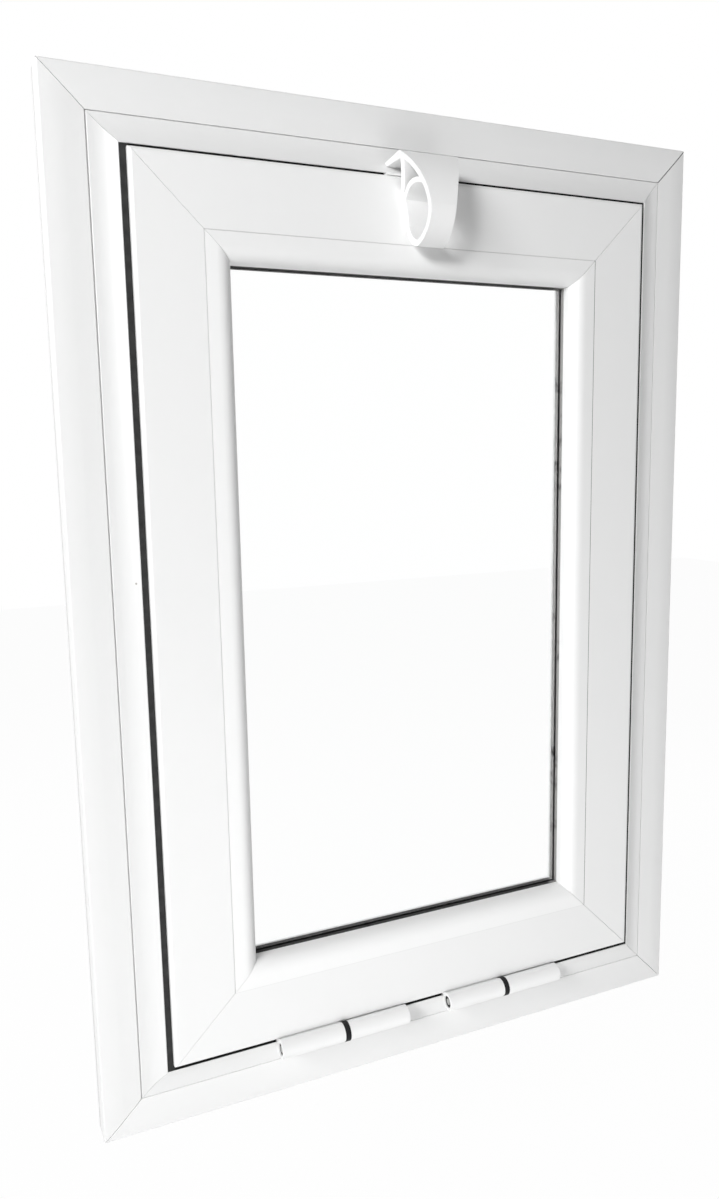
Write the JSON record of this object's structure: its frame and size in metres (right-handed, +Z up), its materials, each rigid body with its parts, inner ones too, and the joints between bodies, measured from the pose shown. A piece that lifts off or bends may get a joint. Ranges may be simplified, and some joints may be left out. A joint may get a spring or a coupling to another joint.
{
  "type": "transom window",
  "caption": "Small bottom-hung transom window: mitred white aluminium frame and sash, clear glass, trim strip, two hinges and a latch lever.",
  "frame": {"origin": "middle of the bottom trim's foot, on the face that lies on the wall, centred on the width", "axes": "+Z up, +Y out through the wall, -Y into the room, +X to the right seen from the room"},
  "size_m": [0.461, 0.081, 0.661],
  "materials": {
    "white_coat": "satin powder coat, white",
    "glass": "clear float glass",
    "seal": "matt black rubber",
    "black_plastic": "matt black nylon",
    "pin_steel": "drawn stainless steel"
  },
  "bodies": {
    "root": {"frame_bottom": "white_coat", "frame_left": "white_coat", "frame_right": "white_coat", "frame_top": "white_coat", "gap_seal": "seal", "glass_pane": "glass", "glazing_bead_bottom": "white_coat", "glazing_bead_left": "white_coat", "glazing_bead_right": "white_coat", "glazing_bead_top": "white_coat", "glazing_gasket_outside": "seal", "glazing_gasket_room_side": "seal", "hinge_left_frame_knuckle": "white_coat", "hinge_left_pin": "black_plastic", "hinge_left_sash_knuckle": "white_coat", "hinge_left_washer": "black_plastic", "hinge_right_frame_knuckle": "white_coat", "hinge_right_pin": "black_plastic", "hinge_right_sash_knuckle": "white_coat", "hinge_right_washer": "black_plastic", "latch_bracket": "white_coat", "latch_lever": "white_coat", "latch_pin": "pin_steel", "sash_bottom": "white_coat", "sash_left": "white_coat", "sash_right": "white_coat", "sash_top": "white_coat", "stop_seal": "seal", "trim_bottom": "white_coat", "trim_left": "white_coat", "trim_right": "white_coat", "trim_top": "white_coat"}
  },
  "joints": []
}
